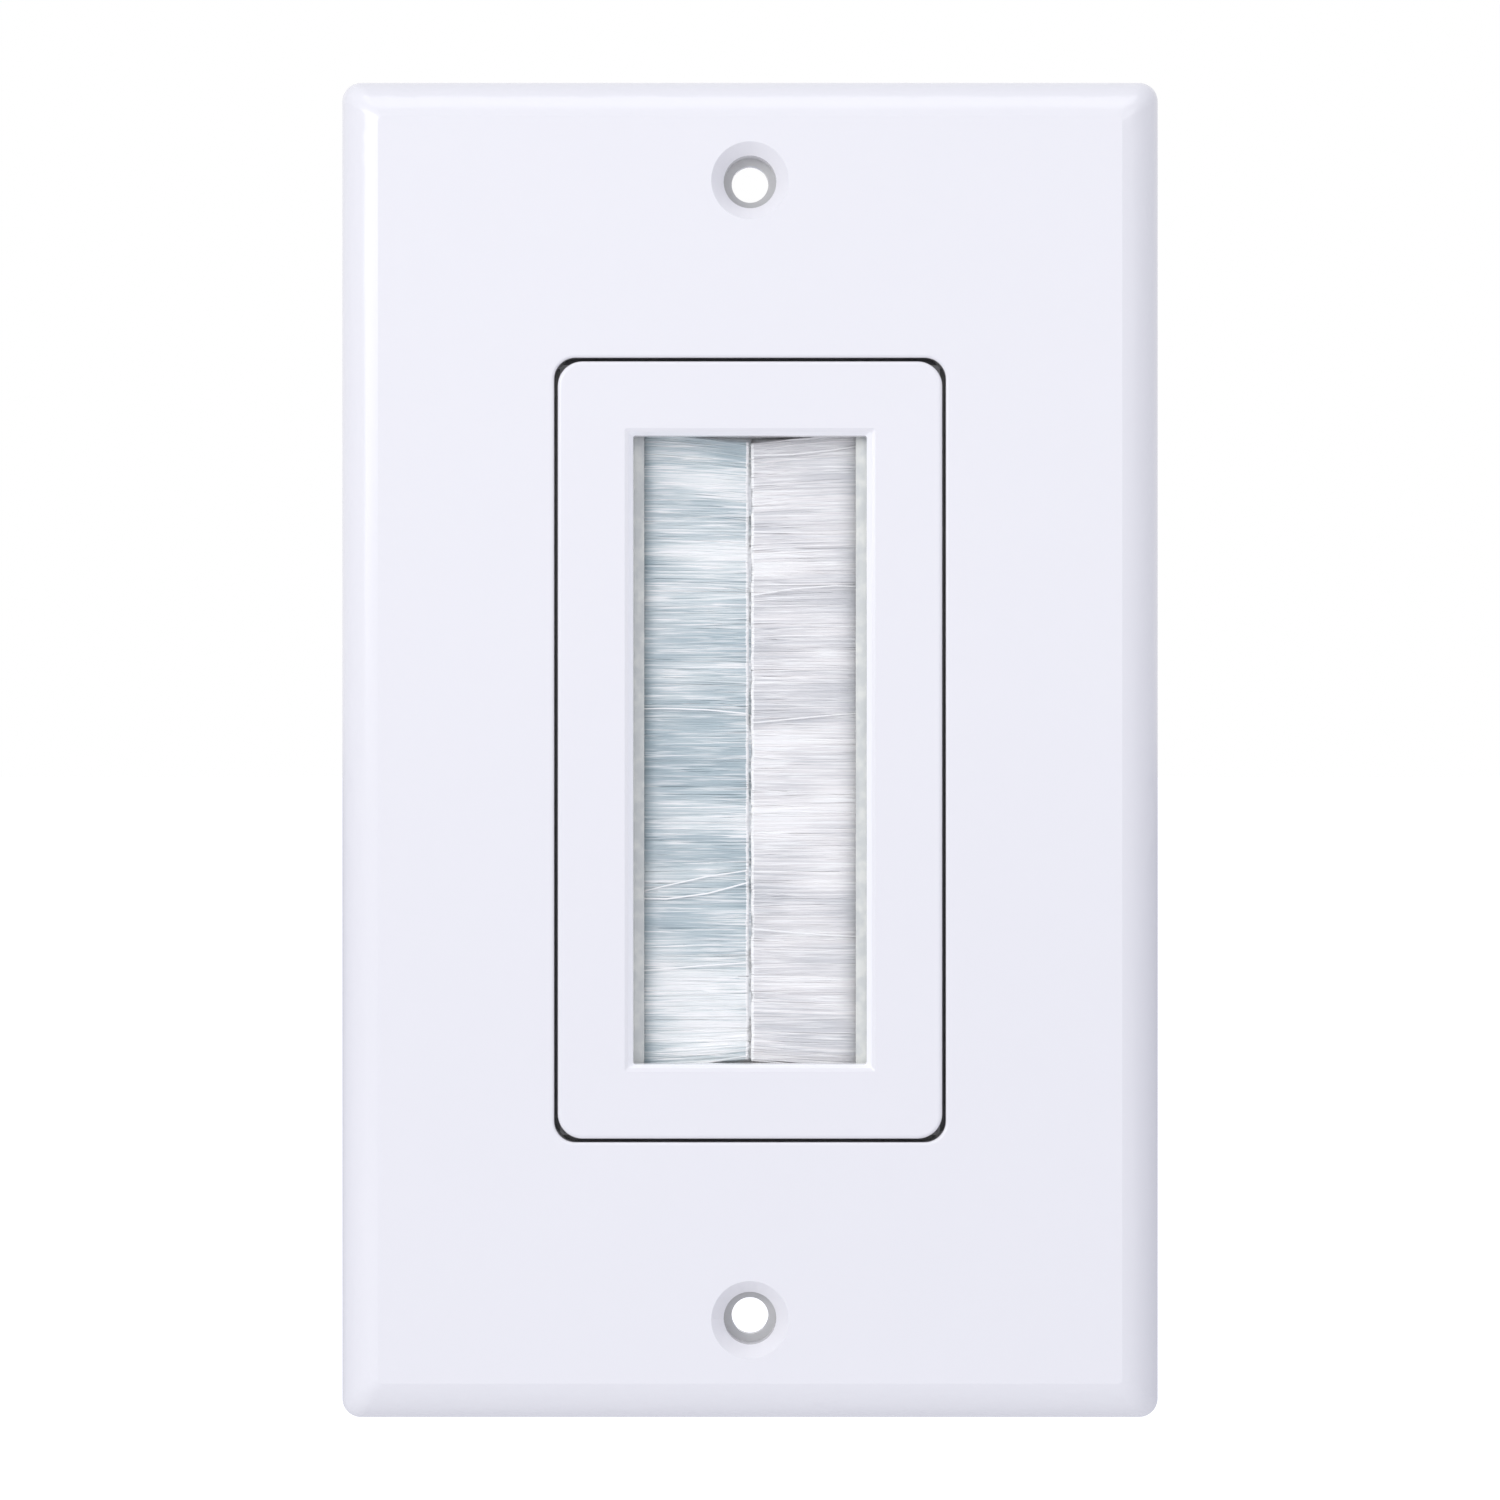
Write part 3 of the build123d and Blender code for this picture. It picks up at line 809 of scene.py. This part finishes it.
class BRUSHPLATE_OT_finish_plastic(Operator):
    """Finish the plate, the insert and the retainer"""

    bl_idname = "brush_plate.finish_plastic"
    bl_label = "Finish the plastic"

    def execute(self, context):
        colours = context.scene.brush_plate_finishes
        gloss = {"roughness": colours.gloss_roughness, "grain_depth": 0.002 * MM}
        matt = {"roughness": 0.5, "grain_depth": 0.01 * MM}
        # Painted shade in the crevices and on the strap in the screw holes, and painted light on
        # the window's rim
        in_plate = [(plate_crevice_shade, CREVICE_SHADE_COLOUR)]
        in_insert = [
            (insert_crevice_shade, CREVICE_SHADE_COLOUR),
            (strap_front_shade, HOLE_SHADE_GREY),
            (window_rim_light, WINDOW_PAINTED_LIGHT),
        ]
        plate = moulded_plastic("Plate plastic", colours.plate, shade_and_light_tints=in_plate, **gloss)
        insert = moulded_plastic("Insert plastic", colours.insert, shade_and_light_tints=in_insert, **gloss)
        finish_node("wall_plate", plate)
        finish_node("insert_frame", insert)
        finish_node("rear_retainer", moulded_plastic("Retainer plastic", colours.retainer, **matt))
        return {"FINISHED"}


class BRUSHPLATE_OT_finish_metal(Operator):
    """Finish the brush channels, the core wires and the screws"""

    bl_idname = "brush_plate.finish_metal"
    bl_label = "Finish the metal"

    def execute(self, context):
        colours = context.scene.brush_plate_finishes
        channel = drawn_metal(
            "Channel metal", colours.channel, roughness=0.55, lines=9000, line_depth=0.004 * MM,
            metallic=0.45, film=0.4,
        )
        wire = drawn_metal(
            "Core wire steel", colours.steel, roughness=0.3, lines=16000, line_depth=0.003 * MM
        )
        screw = plated_steel("Screw steel", colours.steel)
        for side_name in ("left", "right"):
            finish_node(f"{side_name}_brush_channel", channel)
            finish_node(f"{side_name}_core_wire", wire)
        for number in range(1, 5):
            finish_node(f"retainer_screw_{number}", screw)
        return {"FINISHED"}


class BRUSHPLATE_OT_comb_bristles(Operator):
    """Comb both rows of bristles"""

    bl_idname = "brush_plate.comb_bristles"
    bl_label = "Comb the bristles"

    def execute(self, context):
        settings = context.scene.brush_plate_bristles
        for side_name in ("left", "right"):
            # Each row gets its own copy of the nylon: painted shade on the left, painted light on
            # the right
            colour = getattr(settings, f"{side_name}_colour")
            shade = getattr(settings, f"{side_name}_shade")
            strands = nylon(f"Nylon strands {side_name}", colour, shade)
            row = comb_row(side_name, settings, strands)
            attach(row, BODY)
            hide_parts(f"{side_name}_bristles")
        return {"FINISHED"}


def aim(thing):
    """Turns a lamp or the camera to look at the plate's centre"""
    thing.rotation_euler = (Vector() - thing.location).to_track_quat("-Z", "Y").to_euler()


def add_softbox(name, azimuth, elevation, distance, size, roll, power):
    """A rectangular lamp that looks at the plate"""
    data = bpy.data.lights.new(name, "AREA")
    data.shape = "RECTANGLE"
    data.size, data.size_y = size
    data.energy = power
    lamp = bpy.data.objects.new(name, data)
    across, up = math.radians(azimuth), math.radians(elevation)
    lamp.location = (
        -distance * math.sin(across) * math.cos(up),
        -distance * math.cos(across) * math.cos(up),
        distance * math.sin(up),
    )
    bpy.context.scene.collection.objects.link(lamp)
    aim(lamp)
    lamp.rotation_euler.rotate_axis("Z", math.radians(roll))


def white_world(surround):
    """A world that lights softly, and is white where the camera or a reflection sees it"""
    world = bpy.data.worlds.new("Studio")
    bpy.context.scene.world = world
    world.use_nodes = True
    tree = world.node_tree
    tree.nodes.clear()
    rays = tree.nodes.new("ShaderNodeLightPath").outputs
    soft = tree.nodes.new("ShaderNodeBackground")
    soft.inputs["Color"].default_value = (*SURROUND_COLOUR, 1)
    soft.inputs["Strength"].default_value = surround
    white = tree.nodes.new("ShaderNodeBackground")
    white.inputs["Color"].default_value = (1, 1, 1, 1)
    white.inputs["Strength"].default_value = 1.0
    seen = (rays["Is Camera Ray"], rays["Is Glossy Ray"], rays["Is Transmission Ray"])
    mix = tree.nodes.new("ShaderNodeMixShader")
    tree.links.new(combined(tree, "MAXIMUM", *seen), mix.inputs["Fac"])
    tree.links.new(soft.outputs[0], mix.inputs[1])
    tree.links.new(white.outputs[0], mix.inputs[2])
    output = tree.nodes.new("ShaderNodeOutputWorld")
    tree.links.new(mix.outputs[0], output.inputs["Surface"])


def white_floor(drop):
    """A pale floor that keeps the shadow and is otherwise white to the camera"""
    material, tree, shader = new_material("Studio floor")
    shader.inputs["Base Color"].default_value = (*FLOOR_COLOUR, 1)
    shader.inputs["Roughness"].default_value = 0.9
    shader.inputs["Specular IOR Level"].default_value = 0.0
    shader.inputs["Emission Color"].default_value = (1, 1, 1, 1)
    rays = tree.nodes.new("ShaderNodeLightPath").outputs
    glow = spread(tree, rays["Is Camera Ray"], *FLOOR_GLOW)
    tree.links.new(glow, shader.inputs["Emission Strength"])
    mesh = bmesh.new()
    below = Matrix.Translation((0, 0, -drop))
    bmesh.ops.create_grid(mesh, x_segments=1, y_segments=1, size=FLOOR_SIZE, matrix=below)
    floor = bmesh_object("studio_floor", mesh, material)


class BRUSHPLATE_OT_set_stage(Operator):
    """Set the floor, the lights and the camera"""

    bl_idname = "brush_plate.set_stage"
    bl_label = "Set the stage"

    def execute(self, context):
        stage = context.scene.brush_plate_stage
        scene = context.scene
        low, high = cad_box
        white_world(stage.surround)
        white_floor(stage.floor_drop)
        for name, azimuth, elevation, size, roll in SOFTBOXES:
            power = getattr(stage, f"{name.lower()}_power")
            add_softbox(name, azimuth, elevation, stage.lamp_distance, size, roll, power)

        data = bpy.data.cameras.new("Camera")
        camera = bpy.data.objects.new("Camera", data)
        scene.collection.objects.link(camera)
        camera.location = (0, low.y - stage.camera_distance, 0)
        aim(camera)
        outline_distance = stage.camera_distance + (high.y - low.y) * OUTLINE_DEPTH
        data.sensor_width = SENSOR_WIDTH
        data.lens = data.sensor_width * outline_distance / stage.frame_width
        data.clip_start = NEAREST_SEEN
        scene.camera = camera
        scene.view_settings.view_transform = "Standard"
        return {"FINISHED"}


class BRUSHPLATE_PT_sidebar(Panel):
    """The sizes, colours and steps of the brush wall plate"""

    bl_label = "Brush wall plate"
    bl_idname = "BRUSHPLATE_PT_sidebar"
    bl_space_type = "VIEW_3D"
    bl_region_type = "UI"
    bl_category = "Brush plate"

    def draw(self, context):
        layout = self.layout
        for settings in (
            context.scene.brush_plate_bristles,
            context.scene.brush_plate_finishes,
            context.scene.brush_plate_stage,
        ):
            box = layout.box()
            for name in settings.bl_rna.properties.keys():
                if name not in ("rna_type", "name"):
                    box.prop(settings, name)
        for operator in OPERATORS:
            layout.operator(operator.bl_idname)


SETTINGS = {
    "brush_plate_bristles": BrushPlateBristles,
    "brush_plate_finishes": BrushPlateFinishes,
    "brush_plate_stage": BrushPlateStage,
}
OPERATORS = (
    BRUSHPLATE_OT_set_stage,
    BRUSHPLATE_OT_finish_plastic,
    BRUSHPLATE_OT_finish_metal,
    BRUSHPLATE_OT_comb_bristles,
)


def register():
    """Adds the settings, the operators and the panel"""
    for name, group in SETTINGS.items():
        bpy.utils.register_class(group)
        setattr(bpy.types.Scene, name, PointerProperty(type=group))
    for operator in OPERATORS:
        bpy.utils.register_class(operator)
    bpy.utils.register_class(BRUSHPLATE_PT_sidebar)


def unregister():
    """Takes the panel, the operators and the settings away again"""
    bpy.utils.unregister_class(BRUSHPLATE_PT_sidebar)
    for operator in reversed(OPERATORS):
        bpy.utils.unregister_class(operator)
    for name, group in reversed(SETTINGS.items()):
        delattr(bpy.types.Scene, name)
        bpy.utils.unregister_class(group)


def main():
    """Runs the steps in order"""
    register()
    bpy.ops.brush_plate.set_stage()
    bpy.ops.brush_plate.finish_plastic()
    bpy.ops.brush_plate.finish_metal()
    bpy.ops.brush_plate.comb_bristles()


if __name__ == "__main__":
    main()
